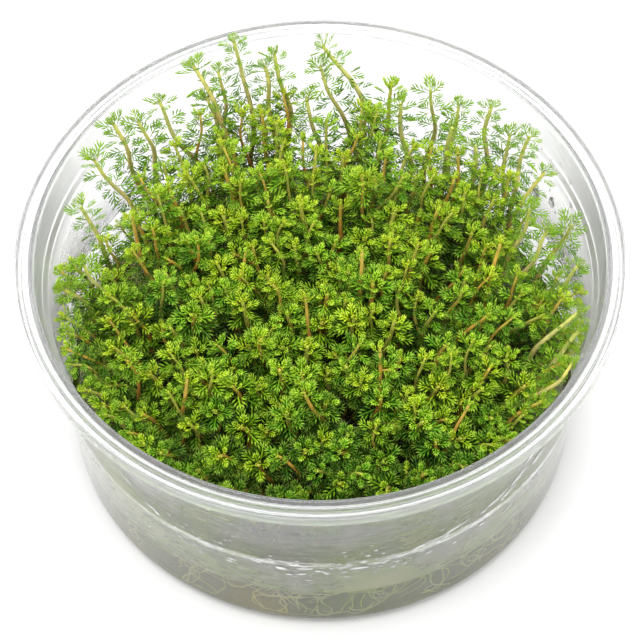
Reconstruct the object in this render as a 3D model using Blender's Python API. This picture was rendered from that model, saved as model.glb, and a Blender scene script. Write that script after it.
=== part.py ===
"""A clear cup of nutrient gel, packed with rooted plantlets of a feathery aquarium plant.

Metres, +Z up. The origin is the centre of the cup's underside, and -Y is the side that faces the viewer.
"""

import math
import random

import bmesh
import bpy
import numpy as np
from mathutils import Vector

# Cup
HEIGHT = 0.049
RIM_RADIUS = 0.0505
LIP_DROP = 0.0024
LIP_THICKNESS = 0.0007
RIM_EDGE_ROUND = 0.0004
FLANGE_THICKNESS = 0.0012
BEAD_DEPTH = 0.00035
FLANGE_STEPS = 5
GROOVE_STEPS = (1, 3)
MOUTH_RADIUS = 0.0472
COLLAR_DEPTH = 0.0065
COLLAR_FOOT_RADIUS = 0.0464
LEDGE_WIDTH = 0.0008
LEDGE_DROP = 0.0006
WALL = 0.0008
BASE_RADIUS = 0.0452
BASE_THICKNESS = 0.0010
BASE_FILLET = 0.0040
FILLET_STEPS = 3
TURNS = 48
SMOOTH_BELOW = math.radians(35)

# Gel
GAP = 0.0003
GEL_TOP = 0.0126
GEL_FILLET_STEPS = 2

# Plantlets: a crown on the gel, a main root in it, and shoots that rise from the crown
CROWN_HALF = 0.0010
ROOT_DEPTH = 0.0070
POCKET_HALF = 0.00145
POCKET_DEPTH = 0.0086
POCKET_MOUTH = 0.0010
STEM_RADIUS = 0.00062
STEM_FOOT = 0.0045
BEND_SHARE = 0.25
BEND_LIFT = 0.60
WHORL_LIFT = 0.0010
WHORL_HEIGHT = 0.0017
WHORL_PITCH = 0.0040
LEAF_REACH = 0.0040
LEAF_ROOM = 0.0030
LEAF_MESHING = 1.18
LEAF_DROOP = 0.0003
NOTCH_SHARE = 0.70
BUD_SHARE = 0.88
BUD_RISE = 0.0008
BUD_TIP = 0.0010
LEAVES = 4
MOST_SHOOTS = 3
GROUPING_TRIES = 2

# How close the foliage stands, and how it fans out towards the wall
SEED = 3
SHOOT_CLEARANCE = 0.0002
WALL_CLEARANCE = 0.0005
MAT_RADIUS = 0.0425
MAT_PLACES = 108
FIRST_PLACE = 0.5
MAT_SHIFT = 0.0006
GOLDEN_ANGLE = math.pi * (3 - math.sqrt(5))
FAN = 0.86
FOOT_SHIFT = 0.0005
MAT_HEIGHT = 0.0440
MAT_RISE_TO_BACK = 0.0035
MAT_SAG_AT_WALL = 0.0030
MAT_SAG_POWER = 4
MAT_UNEVEN = 0.0022
MAT_WHORLS = 1
LOOSE_WHORLS = 2
SHORTEST_BRANCH = 0.0028
LONGEST_BRANCH = 0.0075
STEM_ROOM = 0.0021
CROWN_ROOM = 0.0043
BARE_STEPS = 8

MM = 0.001

# Colours, with the roughness, transmission and refraction of each stuff
CLEAR_PLASTIC = ((0.93, 0.95, 0.95), 0.06, 1.0, 1.49)
NUTRIENT_GEL = ((0.86, 0.90, 0.80), 0.10, 0.9, 1.34)
FOLIAGE_COLORS = ((0.20, 0.42, 0.05), (0.28, 0.50, 0.07), (0.16, 0.34, 0.05))
FOLIAGE_ROUGHNESS = 0.45
FOLIAGE_IOR = 1.45

# Tall loose shoots, in millimetres: foot x, foot y, tip x, tip y, tip height
LOOSE_SHOOTS = (
    (-11.5, 35.5, -14.5, 41.0, 54.0),
    (-12.0, 28.5, -21.5, 37.5, 51.5),
    (-5.0, 34.5, -7.5, 41.0, 50.5),
    (14.0, 36.0, 1.0, 41.5, 52.0),
    (0.5, 30.0, -2.0, 34.0, 47.0),
    (20.0, 30.5, 19.5, 32.0, 51.0),
    (22.0, 23.0, 23.0, 25.0, 49.0),
    (28.0, 24.0, 30.0, 29.5, 49.0),
    (33.5, 18.0, 36.0, 22.0, 50.0),
    (30.0, 13.0, 38.0, 14.5, 49.5),
    (30.5, 5.0, 35.0, 6.5, 50.0),
    (36.5, 5.5, 42.0, 4.5, 48.0),
    (34.5, -3.5, 42.5, -3.0, 47.0),
    (30.0, -16.0, 42.0, -12.0, 47.0),
    (-19.5, 27.5, -27.5, 31.5, 49.5),
    (-28.5, 22.5, -35.0, 25.0, 51.5),
    (-30.5, 16.0, -38.0, 18.0, 50.5),
    (-33.0, 8.0, -40.0, 9.5, 48.5),
    (-36.5, -3.0, -42.5, -4.5, 44.5),
)


def clear_scene():
    for thing in list(bpy.data.objects):
        bpy.data.objects.remove(thing, do_unlink=True)


def make_material(name, color, roughness, transmission, ior):
    material = bpy.data.materials.new(name)
    material.use_nodes = True
    shader = material.node_tree.nodes["Principled BSDF"]
    shader.inputs["Base Color"].default_value = (*color, 1.0)
    shader.inputs["Roughness"].default_value = roughness
    shader.inputs["Metallic"].default_value = 0.0
    shader.inputs["Transmission Weight"].default_value = transmission
    shader.inputs["IOR"].default_value = ior
    return material


def add_object(name, bm, material, smooth=False):
    mesh = bpy.data.meshes.new(name)
    bm.to_mesh(mesh)
    bm.free()
    mesh.materials.append(material)
    if smooth:
        mesh.shade_smooth()
        mesh.set_sharp_from_angle(angle=SMOOTH_BELOW)
    thing = bpy.data.objects.new(name, mesh)
    bpy.context.scene.collection.objects.link(thing)
    return thing


def turn(profile):
    """A closed turned body. Its profile starts on the axis below and goes round the outside to the axis."""
    bm = bmesh.new()
    angles = [2 * math.pi * step / TURNS for step in range(TURNS)]
    bottom = bm.verts.new((0, 0, profile[0][1]))
    top = bm.verts.new((0, 0, profile[-1][1]))
    rings = [
        [bm.verts.new((r * math.cos(a), r * math.sin(a), z)) for a in angles]
        for r, z in profile[1:-1]
    ]
    for i in range(TURNS):
        j = (i + 1) % TURNS
        bm.faces.new((bottom, rings[0][j], rings[0][i]))
        bm.faces.new((top, rings[-1][i], rings[-1][j]))
        for low, high in zip(rings, rings[1:]):
            bm.faces.new((low[i], low[j], high[j], high[i]))
    return bm


def arc(centre_r, centre_z, radius, start, end, steps):
    """Points along an arc of the profile, ends included. Angles in degrees, 0 pointing outward, 90 up."""
    points = []
    for step in range(steps + 1):
        angle = math.radians(start + (end - start) * step / steps)
        points.append((centre_r + radius * math.cos(angle), centre_z + radius * math.sin(angle)))
    return points


def cup_profile():
    """The cup's section: base, fillet, tapered wall, ledge, collar, beaded flange and hanging lip."""
    ledge_z = HEIGHT - COLLAR_DEPTH
    fillet_r = BASE_RADIUS - BASE_FILLET
    collar_outer = MOUTH_RADIUS + WALL
    outside = [(0, 0)]
    outside += arc(fillet_r, BASE_FILLET, BASE_FILLET, -90, 0, FILLET_STEPS)
    outside += [
        (COLLAR_FOOT_RADIUS - LEDGE_WIDTH + WALL, ledge_z - 2 * WALL),
        (COLLAR_FOOT_RADIUS + WALL, ledge_z - WALL + LEDGE_DROP),
        (collar_outer, HEIGHT - FLANGE_THICKNESS),
        (RIM_RADIUS - LIP_THICKNESS, HEIGHT - FLANGE_THICKNESS),
        (RIM_RADIUS - LIP_THICKNESS, HEIGHT - LIP_DROP),
        (RIM_RADIUS, HEIGHT - LIP_DROP),
        (RIM_RADIUS, HEIGHT - RIM_EDGE_ROUND),
        (RIM_RADIUS - RIM_EDGE_ROUND, HEIGHT),
    ]
    inward = (RIM_RADIUS - RIM_EDGE_ROUND - MOUTH_RADIUS) / FLANGE_STEPS
    top = [
        (RIM_RADIUS - RIM_EDGE_ROUND - inward * step, HEIGHT - BEAD_DEPTH * (step in GROOVE_STEPS))
        for step in range(1, FLANGE_STEPS)
    ]
    inside = [
        (MOUTH_RADIUS, HEIGHT - BEAD_DEPTH),
        (COLLAR_FOOT_RADIUS, ledge_z),
        (COLLAR_FOOT_RADIUS - LEDGE_WIDTH, ledge_z - LEDGE_DROP),
    ]
    inner_fillet = BASE_FILLET - WALL
    inside += arc(fillet_r, BASE_THICKNESS + inner_fillet, inner_fillet, 0, -90, FILLET_STEPS)
    inside.append((0, BASE_THICKNESS))
    return outside + top + inside


def wall_radius(z):
    """The radius of the cup's inner surface at a height above its fillet."""
    ledge_z = HEIGHT - COLLAR_DEPTH - LEDGE_DROP
    foot_z = BASE_THICKNESS + BASE_FILLET - WALL
    if z >= ledge_z:
        rise = min(1.0, (z - ledge_z) / (HEIGHT - ledge_z))
        return COLLAR_FOOT_RADIUS - LEDGE_WIDTH + rise * (MOUTH_RADIUS - COLLAR_FOOT_RADIUS + LEDGE_WIDTH)
    share = max(0.0, (z - foot_z) / (ledge_z - foot_z))
    return BASE_RADIUS - WALL + share * (COLLAR_FOOT_RADIUS - LEDGE_WIDTH - BASE_RADIUS + WALL)


def gel_profile():
    """The gel fills the cup's foot, a gap away from the wall and the floor."""
    foot = BASE_THICKNESS + GAP
    fillet_r = BASE_RADIUS - BASE_FILLET
    fillet = BASE_FILLET - WALL - GAP
    profile = [(0, foot)]
    profile += arc(fillet_r, foot + fillet, fillet, -90, 0, GEL_FILLET_STEPS)
    profile += [(wall_radius(GEL_TOP) - GAP, GEL_TOP), (0, GEL_TOP)]
    return profile


def stay_in_cup(point):
    """A leaf that would reach through the wall bends along it."""
    radius = math.hypot(point.x, point.y)
    limit = wall_radius(point.z) - WALL_CLEARANCE
    if radius <= limit:
        return point
    return Vector((point.x * limit / radius, point.y * limit / radius, point.z))


class Shoot:
    """One stem with its whorls: foot on the gel, tip, and the smooth line between."""

    def __init__(self, foot, tip, whorls, rng):
        self.foot = Vector((foot[0], foot[1], GEL_TOP + STEM_FOOT))
        self.tip = Vector(tip)
        self.whorls = whorls
        self.turn = rng.uniform(0, math.pi / LEAVES)
        self.bend = self.foot.lerp(self.tip, BEND_SHARE)
        self.bend.z = self.foot.z + BEND_LIFT * (self.tip.z - self.foot.z)
        self.length = (self.bend - self.foot).length + (self.tip - self.bend).length
        self.spread = LEAF_REACH

    def at(self, t):
        return (1 - t) ** 2 * self.foot + 2 * t * (1 - t) * self.bend + t**2 * self.tip

    def along(self, t):
        return ((1 - t) * (self.bend - self.foot) + t * (self.tip - self.bend)).normalized()

    def whorl_starts(self):
        """Line parameters where the whorls begin, from the lowest to the bud at the tip."""
        bud = 1 - (WHORL_LIFT + BUD_TIP) / self.length
        return [bud - WHORL_PITCH / self.length * step for step in range(self.whorls, -1, -1)]

    def room(self):
        """Points and radii that hold the shoot: leafy along the whorls, bare below them."""
        starts = self.whorl_starts()
        leafy = [(self.at(t + WHORL_LIFT / self.length), LEAF_ROOM) for t in starts[:-1]]
        leafy.append((self.tip, LEAF_ROOM * BUD_SHARE))
        bare = [(self.at(starts[0] * step / BARE_STEPS), STEM_RADIUS) for step in range(BARE_STEPS)]
        return np.array([[*point, radius] for point, radius in leafy + bare])


def clear_of(room, others):
    """Whether a shoot's room stays clear of every other shoot's."""
    for other in others:
        apart = np.linalg.norm(room[:, None, :3] - other[None, :, :3], axis=2)
        if (apart < room[:, None, 3] + other[None, :, 3] + SHOOT_CLEARANCE).any():
            return False
    return True


def open_leaves(shoots, rooms):
    """Each shoot's leaves open until they lie between the next shoot's, clear of its stem."""
    for shoot, room in zip(shoots, rooms):
        leafy = room[: shoot.whorls + 1, :3]
        for other, other_room in zip(shoots, rooms):
            if other is shoot:
                continue
            apart = np.linalg.norm(leafy[:, None] - other_room[None, :, :3], axis=2)
            leaves = float(apart[:, : other.whorls + 1].min()) / 2 * LEAF_MESHING
            stem = float(apart[:, other.whorls + 1 :].min()) - STEM_RADIUS
            shoot.spread = min(shoot.spread, leaves - SHOOT_CLEARANCE, stem - SHOOT_CLEARANCE)


def mat_height(x, y):
    """The foliage's top: higher at the back, lower along the wall."""
    spread = math.hypot(x, y) / MAT_RADIUS
    return MAT_HEIGHT + MAT_RISE_TO_BACK * y / MAT_RADIUS - MAT_SAG_AT_WALL * spread**MAT_SAG_POWER


def plant_shoots(rng):
    """The loose shoots where they stand, then the mat between them, as close as the leaves allow."""
    shoots = []
    for foot_x, foot_y, tip_x, tip_y, tip_z in LOOSE_SHOOTS:
        foot = (foot_x * MM, foot_y * MM)
        tip = (tip_x * MM, tip_y * MM, tip_z * MM)
        shoots.append(Shoot(foot, tip, LOOSE_WHORLS, rng))
    rooms = [shoot.room() for shoot in shoots]
    for number in range(MAT_PLACES):
        radius = MAT_RADIUS * math.sqrt((number + FIRST_PLACE) / MAT_PLACES)
        angle = number * GOLDEN_ANGLE
        x = radius * math.cos(angle) + rng.uniform(-MAT_SHIFT, MAT_SHIFT)
        y = radius * math.sin(angle) + rng.uniform(-MAT_SHIFT, MAT_SHIFT)
        tip = (x, y, mat_height(x, y) + rng.uniform(-MAT_UNEVEN, MAT_UNEVEN))
        foot = (
            x * FAN + rng.uniform(-FOOT_SHIFT, FOOT_SHIFT),
            y * FAN + rng.uniform(-FOOT_SHIFT, FOOT_SHIFT),
        )
        shoot = Shoot(foot, tip, MAT_WHORLS, rng)
        room = shoot.room()
        if clear_of(room, rooms):
            shoots.append(shoot)
            rooms.append(room)
    open_leaves(shoots, rooms)
    return shoots


def flat(point):
    return Vector((point.x, point.y))


def distance_to_line(point, start, end):
    """How far a point lies from the line between two others, on the gel."""
    run = end - start
    share = max(0.0, min(1.0, (point - start).dot(run) / run.length_squared))
    return (point - start - share * run).length


def fits(members, rest, crowns):
    """Whether these shoots can share a crown without touching the stems and crowns around them."""
    crown = sum((flat(s.foot) for s in members), Vector((0, 0))) / len(members)
    for shoot in members:
        foot = flat(shoot.foot)
        if not SHORTEST_BRANCH < (foot - crown).length < LONGEST_BRANCH:
            return False
        if any(distance_to_line(flat(o.foot), crown, foot) < STEM_ROOM for o in rest):
            return False
    around = [flat(o.foot) for o in rest] + crowns
    return all((spot - crown).length > CROWN_ROOM for spot in around)


def group_plantlets(shoots):
    """Neighbouring shoots grow from one crown, outermost first. One with no free neighbour stands alone."""
    left = sorted(shoots, key=lambda s: -flat(s.foot).length)
    plantlets = []
    crowns = []
    while left:
        first = left.pop(0)
        members = [first]
        near = sorted(left, key=lambda s: (flat(s.foot) - flat(first.foot)).length)
        for wanted in range(MOST_SHOOTS, 1, -1):
            for skip in range(GROUPING_TRIES):
                trial = [first, *near[skip : skip + wanted - 1]]
                rest = [s for s in shoots if s not in trial]
                if len(trial) == wanted and fits(trial, rest, crowns):
                    members = trial
                    break
            if len(members) > 1:
                break
        left = [s for s in left if s not in members]
        plantlets.append(members)
        crowns.append(crown_of(members)[0])
    return plantlets


def ring(bm, centre, along, side, radius, turned=0.0):
    """Four corners round a line, counter-clockwise seen from its far end."""
    u = (side - side.dot(along) * along).normalized()
    w = along.cross(u)
    corners = []
    for step in range(LEAVES):
        angle = 2 * math.pi * (step - (LEAVES - 1) / 2) / LEAVES + turned
        corners.append(bm.verts.new(centre + radius * (math.cos(angle) * u + math.sin(angle) * w)))
    return corners


def bridge(bm, low, high):
    for i in range(LEAVES):
        j = (i + 1) % LEAVES
        bm.faces.new((low[i], low[j], high[j], high[i]))


def star(bm, centre, along, side, turned, reach, rise):
    """The edge of a whorl: a leaf tip between two notches over each side of the stem."""
    u = (side - side.dot(along) * along).normalized()
    w = along.cross(u)
    edge = []
    for step in range(2 * LEAVES):
        angle = math.pi * (step - (LEAVES - 1)) / LEAVES + turned
        out = math.cos(angle) * u + math.sin(angle) * w
        if step % 2:
            edge.append(bm.verts.new(stay_in_cup(centre + reach * out + rise * along)))
        else:
            edge.append(bm.verts.new(stay_in_cup(centre + NOTCH_SHARE * reach * out)))
    return edge


def join_below(bm, low, edge):
    """The underside of a whorl, from the stem out to its edge."""
    for i in range(LEAVES):
        j = (i + 1) % LEAVES
        notch_i, tip, notch_j = edge[2 * i], edge[2 * i + 1], edge[2 * j]
        bm.faces.new((low[i], low[j], tip))
        bm.faces.new((low[i], tip, notch_i))
        bm.faces.new((low[j], notch_j, tip))


def join_above(bm, edge, high):
    """The upper side of a whorl, from its edge in to the stem above."""
    for i in range(LEAVES):
        j = (i + 1) % LEAVES
        notch_i, tip, notch_j = edge[2 * i], edge[2 * i + 1], edge[2 * j]
        bm.faces.new((tip, high[j], high[i]))
        bm.faces.new((notch_i, tip, high[i]))
        bm.faces.new((tip, notch_j, high[j]))


def grow_shoot(bm, start_ring, side, shoot):
    """A stem from the crown's open face to the foot, then up the line, with its whorls and its bud."""
    below = ring(bm, shoot.foot, shoot.along(0), side, STEM_RADIUS)
    bridge(bm, start_ring, below)
    turned = 0.0
    starts = shoot.whorl_starts()
    for t in starts[:-1]:
        low = ring(bm, shoot.at(t), shoot.along(t), side, STEM_RADIUS, turned)
        bridge(bm, below, low)
        edge_t = t + WHORL_LIFT / shoot.length
        centre, along = shoot.at(edge_t), shoot.along(edge_t)
        edge = star(bm, centre, along, side, turned, shoot.spread, -LEAF_DROOP)
        join_below(bm, low, edge)
        high_t = t + WHORL_HEIGHT / shoot.length
        below = ring(bm, shoot.at(high_t), shoot.along(high_t), side, STEM_RADIUS, turned)
        join_above(bm, edge, below)
        turned += math.pi / LEAVES
    edge_t = starts[-1] + WHORL_LIFT / shoot.length
    centre, along = shoot.at(edge_t), shoot.along(edge_t)
    reach = BUD_SHARE * shoot.spread
    edge = star(bm, centre, along, side, turned - math.pi / LEAVES, reach, BUD_RISE)
    join_below(bm, below, edge)
    tip = bm.verts.new(shoot.tip)
    for i in range(2 * LEAVES):
        bm.faces.new((edge[i], edge[(i + 1) % (2 * LEAVES)], tip))


def crown_of(members):
    centre = sum((flat(s.foot) for s in members), Vector((0, 0))) / len(members)
    toward = flat(members[0].foot) - centre
    facing = math.atan2(toward.y, toward.x) if len(members) > 1 else members[0].turn
    return centre, facing


def build_plantlet(members):
    """One plantlet as one body: a square crown, a pointed root, and shoots from its sides or its top."""
    centre, facing = crown_of(members)
    bm = bmesh.new()
    foot = GEL_TOP + GAP
    corners = []
    for z in (foot, foot + 2 * CROWN_HALF):
        level = []
        for step in range(LEAVES):
            angle = facing + 2 * math.pi * (step - 0.5) / LEAVES
            radius = CROWN_HALF * math.sqrt(2)
            spot = (centre.x + radius * math.cos(angle), centre.y + radius * math.sin(angle), z)
            level.append(bm.verts.new(spot))
        corners.append(level)
    low, high = corners
    root_tip = bm.verts.new((centre.x, centre.y, GEL_TOP - ROOT_DEPTH))
    for i in range(LEAVES):
        bm.faces.new((low[(i + 1) % LEAVES], low[i], root_tip))
    free = list(range(LEAVES))
    if len(members) == 1:
        side = Vector((math.cos(facing), math.sin(facing), 0))
        grow_shoot(bm, high, side, members[0])
    else:
        bm.faces.new(high)
        for shoot in members:
            toward = flat(shoot.foot) - centre
            heading = math.atan2(toward.y, toward.x)
            best = max(free, key=lambda k: math.cos(facing + k * math.pi / 2 - heading))
            free.remove(best)
            angle = facing + best * math.pi / 2
            side = Vector((-math.sin(angle), math.cos(angle), 0))
            i, j = best, (best + 1) % LEAVES
            grow_shoot(bm, [low[i], low[j], high[j], high[i]], side, shoot)
    for i in free:
        j = (i + 1) % LEAVES
        bm.faces.new((low[i], low[j], high[j], high[i]))
    return bm


def build_pockets(plantlets, material):
    """The pointed holes in the gel that the main roots stand in, as one cutter."""
    bm = bmesh.new()
    half = POCKET_HALF * (1 + POCKET_MOUTH / POCKET_DEPTH)
    for members in plantlets:
        centre, facing = crown_of(members)
        mouth = []
        for step in range(LEAVES):
            angle = facing + 2 * math.pi * (step - 0.5) / LEAVES
            reach = half * math.sqrt(2)
            spot = (centre.x + reach * math.cos(angle), centre.y + reach * math.sin(angle))
            mouth.append(bm.verts.new((*spot, GEL_TOP + POCKET_MOUTH)))
        point = bm.verts.new((centre.x, centre.y, GEL_TOP - POCKET_DEPTH))
        bm.faces.new(mouth)
        for i in range(LEAVES):
            bm.faces.new((mouth[(i + 1) % LEAVES], mouth[i], point))
    cutter = add_object("root_pockets", bm, material)
    cutter.hide_render = True
    cutter.display_type = "WIRE"
    return cutter


def main():
    clear_scene()
    rng = random.Random(SEED)
    plastic = make_material("clear_plastic", *CLEAR_PLASTIC)
    agar = make_material("nutrient_gel", *NUTRIENT_GEL)
    greens = [
        make_material(f"foliage_{shade}", color, FOLIAGE_ROUGHNESS, 0.0, FOLIAGE_IOR)
        for shade, color in enumerate(FOLIAGE_COLORS)
    ]
    add_object("cup", turn(cup_profile()), plastic, smooth=True)

    plantlets = group_plantlets(plant_shoots(rng))
    gel = add_object("gel", turn(gel_profile()), agar, smooth=True)
    pockets = gel.modifiers.new("root_pockets", "BOOLEAN")
    pockets.operation = "DIFFERENCE"
    pockets.object = build_pockets(plantlets, agar)

    for number, members in enumerate(plantlets, start=1):
        add_object(f"plantlet_{number:02d}", build_plantlet(members), greens[number % len(greens)])


main()
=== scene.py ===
"""Looks for a clear cup of nutrient gel that is packed with feathery plantlets.

Metres, +Z up. The origin is the centre of the cup's underside, and -Y is the side that faces the viewer.
"""

import math
import random

import bpy
import numpy as np
from mathutils import Matrix, Vector


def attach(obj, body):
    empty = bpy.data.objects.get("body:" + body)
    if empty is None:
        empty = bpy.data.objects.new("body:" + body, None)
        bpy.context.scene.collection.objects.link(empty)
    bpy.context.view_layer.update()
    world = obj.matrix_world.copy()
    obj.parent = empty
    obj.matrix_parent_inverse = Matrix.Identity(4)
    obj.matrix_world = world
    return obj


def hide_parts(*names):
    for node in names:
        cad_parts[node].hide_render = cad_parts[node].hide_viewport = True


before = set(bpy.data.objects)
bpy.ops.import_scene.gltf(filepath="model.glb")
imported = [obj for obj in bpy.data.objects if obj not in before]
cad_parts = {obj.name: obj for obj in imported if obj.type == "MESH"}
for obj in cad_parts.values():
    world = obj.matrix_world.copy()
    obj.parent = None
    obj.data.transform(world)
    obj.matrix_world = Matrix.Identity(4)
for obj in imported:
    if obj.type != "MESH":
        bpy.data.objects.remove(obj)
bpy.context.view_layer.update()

MM = 0.001

# The cup and the gel, as in the part's source
HEIGHT = 0.049
RIM_RADIUS = 0.0505
LIP_DROP = 0.0024
MOUTH_RADIUS = 0.0472
COLLAR_DEPTH = 0.0065
COLLAR_FOOT_RADIUS = 0.0464
LEDGE_WIDTH = 0.0008
LEDGE_RADIUS = COLLAR_FOOT_RADIUS - LEDGE_WIDTH
LEDGE_DROP = 0.0006
WALL = 0.0008
BASE_RADIUS = 0.0452
BASE_THICKNESS = 0.0010
BASE_FILLET = 0.0040
GEL_TOP = 0.0126

# The solid shoots, as in the part's source
CROWN_HALF = 0.0010
STEM_RADIUS = 0.00062
STEM_FOOT = 0.0045
BEND_SHARE = 0.25
BEND_LIFT = 0.60
WHORL_LIFT = 0.0010
WHORL_PITCH = 0.0040
LEAF_ROOM = 0.0030
BUD_SHARE = 0.88
BUD_TIP = 0.0010
LEAVES = 4
MOST_SHOOTS = 3
GROUPING_TRIES = 2
SEED = 3
SHOOT_CLEARANCE = 0.0002
MAT_RADIUS = 0.0425
MAT_PLACES = 108
FIRST_PLACE = 0.5
MAT_SHIFT = 0.0006
GOLDEN_ANGLE = math.pi * (3 - math.sqrt(5))
FAN = 0.86
FOOT_SHIFT = 0.0005
MAT_HEIGHT = 0.0440
MAT_RISE_TO_BACK = 0.0035
MAT_SAG_AT_WALL = 0.0030
MAT_SAG_POWER = 4
MAT_UNEVEN = 0.0022
MAT_WHORLS = 1
LOOSE_WHORLS = 2
SHORTEST_BRANCH = 0.0028
LONGEST_BRANCH = 0.0075
STEM_ROOM = 0.0021
CROWN_ROOM = 0.0043
BARE_STEPS = 8
LOOSE_SHOOTS = (
    (-11.5, 35.5, -14.5, 41.0, 54.0), (-12.0, 28.5, -21.5, 37.5, 51.5), (-5.0, 34.5, -7.5, 41.0, 50.5),
    (14.0, 36.0, 1.0, 41.5, 52.0), (0.5, 30.0, -2.0, 34.0, 47.0), (20.0, 30.5, 19.5, 32.0, 51.0),
    (22.0, 23.0, 23.0, 25.0, 49.0), (28.0, 24.0, 30.0, 29.5, 49.0), (33.5, 18.0, 36.0, 22.0, 50.0),
    (30.0, 13.0, 38.0, 14.5, 49.5), (30.5, 5.0, 35.0, 6.5, 50.0), (36.5, 5.5, 42.0, 4.5, 48.0),
    (34.5, -3.5, 42.5, -3.0, 47.0), (30.0, -16.0, 42.0, -12.0, 47.0), (-19.5, 27.5, -27.5, 31.5, 49.5),
    (-28.5, 22.5, -35.0, 25.0, 51.5), (-30.5, 16.0, -38.0, 18.0, 50.5), (-33.0, 8.0, -40.0, 9.5, 48.5),
    (-36.5, -3.0, -42.5, -4.5, 44.5),
)

# Shoots too close to those for solids of their own: foot x, foot y, tip x, tip y, tip height, in millimetres
NEAR_SHOOTS = (
    (-15.0, 33.0, -17.4, 38.5, 49.0), (-17.0, 30.5, -19.5, 35.5, 45.5), (-6.0, 32.0, -9.2, 39.0, 49.5),
    (8.0, 36.5, 0.5, 38.5, 50.0), (30.5, 1.0, 37.5, 2.0, 50.0), (-25.5, 24.0, -31.0, 27.0, 49.5),
    (-35.0, -1.0, -39.0, -1.5, 47.0), (16.0, 28.5, 14.5, 33.0, 46.0), (26.0, 19.5, 27.0, 22.5, 47.0),
    (24.0, 27.0, 24.5, 31.0, 47.5), (31.0, 20.0, 33.0, 24.5, 47.5), (26.0, -25.5, 41.0, -21.5, 45.5),
    (31.0, -18.5, 42.0, -14.5, 45.0),
)

# Stems that stand bare above the mat, in the same form
BARE_SHOOTS = (
    (6.9, -7.5, 6.9, -0.9, 49.0), (9.4, -23.5, 9.4, -18.3, 46.5), (-23.5, -26.0, -21.6, -22.8, 45.5),
    (-15.5, -4.0, -12.3, 0.5, 47.5), (-1.0, -13.0, -2.5, -8.0, 46.5), (18.0, -31.0, 23.5, -27.5, 44.0),
    (27.0, -3.0, 30.0, 1.5, 47.5), (-29.0, 4.0, -31.5, 8.0, 47.5),
)

# The mat's thinner shoots, which fill the room between the solid ones
FILL_SEED = 11
FILL_TRIES = 12000
FILL_SHOOTS = 165
FILL_SPACING = 0.0031
FILL_RADIUS = 0.0440
FILL_UNEVEN = 0.0046
FILL_LEAN = 0.0050
CLEARINGS = (
    (-13.4, -10.5, 5.4), (34.0, -16.0, 4.6), (-11.4, -39.0, 4.8), (-28.0, -14.8, 4.2), (2.0, 11.0, 4.2),
    (15.4, -11.6, 4.4), (3.0, -26.0, 3.8), (20.0, -2.0, 3.6),
)
OPEN_BACK = (0.020, 0.042)
OPEN_BACK_SHARE = 0.35
BACK_FROM = 0.001
BACK_RADIUS = 0.0375
EDGE_SHOOTS = 37
EDGE_FROM, EDGE_TO = math.radians(-180), math.radians(-8)
EDGE_RADIUS = (0.0425, 0.0446)
EDGE_HEIGHT = 0.0432
EDGE_RISE_TO_BACK = 0.0045
EDGE_UNEVEN = 0.0018
EDGE_JITTER = 0.35
EDGE_TURN = 0.12


def wall_radius(z):
    """The radius of the cup's inner surface at a height above its fillet."""
    ledge_z = HEIGHT - COLLAR_DEPTH - LEDGE_DROP
    foot_z = BASE_THICKNESS + BASE_FILLET - WALL
    if z >= ledge_z:
        rise = min(1.0, (z - ledge_z) / (HEIGHT - ledge_z))
        return LEDGE_RADIUS + rise * (MOUTH_RADIUS - COLLAR_FOOT_RADIUS + LEDGE_WIDTH)
    share = max(0.0, (z - foot_z) / (ledge_z - foot_z))
    return BASE_RADIUS - WALL + share * (LEDGE_RADIUS - BASE_RADIUS + WALL)


WALL_HEIGHTS = np.linspace(0.0, 0.06, 241)
WALL_RADII = np.array([wall_radius(z) for z in WALL_HEIGHTS])


class Shoot:
    """One stem: its foot on the gel, its tip, and the smooth line between."""

    def __init__(self, foot, tip, whorls, rng):
        self.foot = Vector((foot[0], foot[1], GEL_TOP + STEM_FOOT))
        self.tip = Vector(tip)
        self.whorls = whorls
        self.turn = rng.uniform(0, math.pi / LEAVES)
        self.bend = self.foot.lerp(self.tip, BEND_SHARE)
        self.bend.z = self.foot.z + BEND_LIFT * (self.tip.z - self.foot.z)
        self.length = (self.bend - self.foot).length + (self.tip - self.bend).length

    def at(self, t):
        return (1 - t) ** 2 * self.foot + 2 * t * (1 - t) * self.bend + t**2 * self.tip

    def room(self):
        """Points and radii that hold the shoot: leafy along the whorls, bare below them."""
        bud = 1 - (WHORL_LIFT + BUD_TIP) / self.length
        starts = [bud - WHORL_PITCH / self.length * step for step in range(self.whorls, -1, -1)]
        leafy = [(self.at(t + WHORL_LIFT / self.length), LEAF_ROOM) for t in starts[:-1]]
        leafy.append((self.tip, LEAF_ROOM * BUD_SHARE))
        bare = [(self.at(starts[0] * step / BARE_STEPS), STEM_RADIUS) for step in range(BARE_STEPS)]
        return np.array([[*point, radius] for point, radius in leafy + bare])


def clear_of(room, others):
    """Whether a shoot's room stays clear of every other shoot's."""
    for other in others:
        apart = np.linalg.norm(room[:, None, :3] - other[None, :, :3], axis=2)
        if (apart < room[:, None, 3] + other[None, :, 3] + SHOOT_CLEARANCE).any():
            return False
    return True


def mat_height(x, y):
    """The foliage's top: higher at the back, lower along the wall."""
    spread = math.hypot(x, y) / MAT_RADIUS
    return MAT_HEIGHT + MAT_RISE_TO_BACK * y / MAT_RADIUS - MAT_SAG_AT_WALL * spread**MAT_SAG_POWER


def listed_shoots(rows, rng):
    """Shoots from rows of foot x, foot y, tip x, tip y and tip height in millimetres."""
    shoots = []
    for row in rows:
        places = [place * MM for place in row]
        shoots.append(Shoot(places[:2], places[2:], LOOSE_WHORLS, rng))
    return shoots


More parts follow.
